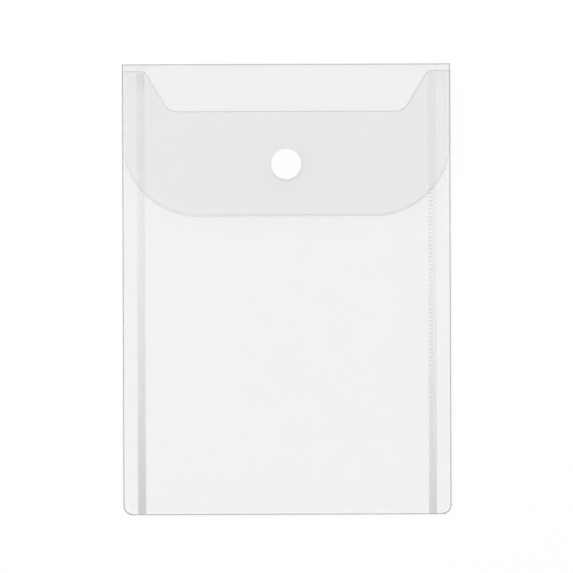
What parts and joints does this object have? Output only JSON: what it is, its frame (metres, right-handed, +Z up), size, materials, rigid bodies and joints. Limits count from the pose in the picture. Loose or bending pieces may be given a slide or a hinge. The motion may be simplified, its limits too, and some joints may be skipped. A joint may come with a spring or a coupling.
{
  "type": "document wallet",
  "caption": "Clear film A4 document wallet lying flat: a side-welded pocket with a wide thumb cut, and a fold-over flap with rounded corners held by a white hook-and-loop coin.",
  "frame": {"origin": "under the middle of the closed wallet, on the surface that its back film lies on", "axes": "+X to the right across the front as in the picture, +Y up the wallet to the flap's fold, +Z up out of the front"},
  "size_m": [0.246, 0.338, 0.0089],
  "materials": {
    "film": "clear polypropylene film, cast on a lightly frosted roll",
    "weld": "polypropylene melted by a ribbed ultrasonic tool",
    "adhesive": "clear pressure-sensitive adhesive",
    "tape": "white woven nylon tape",
    "hook_pile": "white cut nylon hooks",
    "loop_pile": "white brushed nylon loops"
  },
  "bodies": {
    "pocket": {"back_panel": "film", "bottom_fold": "film", "front_panel": "film", "flap_fold": "film", "left_weld_seam": "weld", "right_weld_seam": "weld", "hook_adhesive": "adhesive", "hook_backing": "tape", "hook_field": "hook_pile"},
    "flap": {"flap": "film", "loop_adhesive": "adhesive", "loop_backing": "tape", "loop_field": "loop_pile"}
  },
  "joints": [
    {"name": "flap_hinge", "type": "hinge", "parent": "pocket", "child": "flap", "pos_m": [0, 0.1682, 0.0008], "axis": [-1, 0, 0], "range_deg": [0, 165], "deforming": ["flap_fold"]}
  ]
}
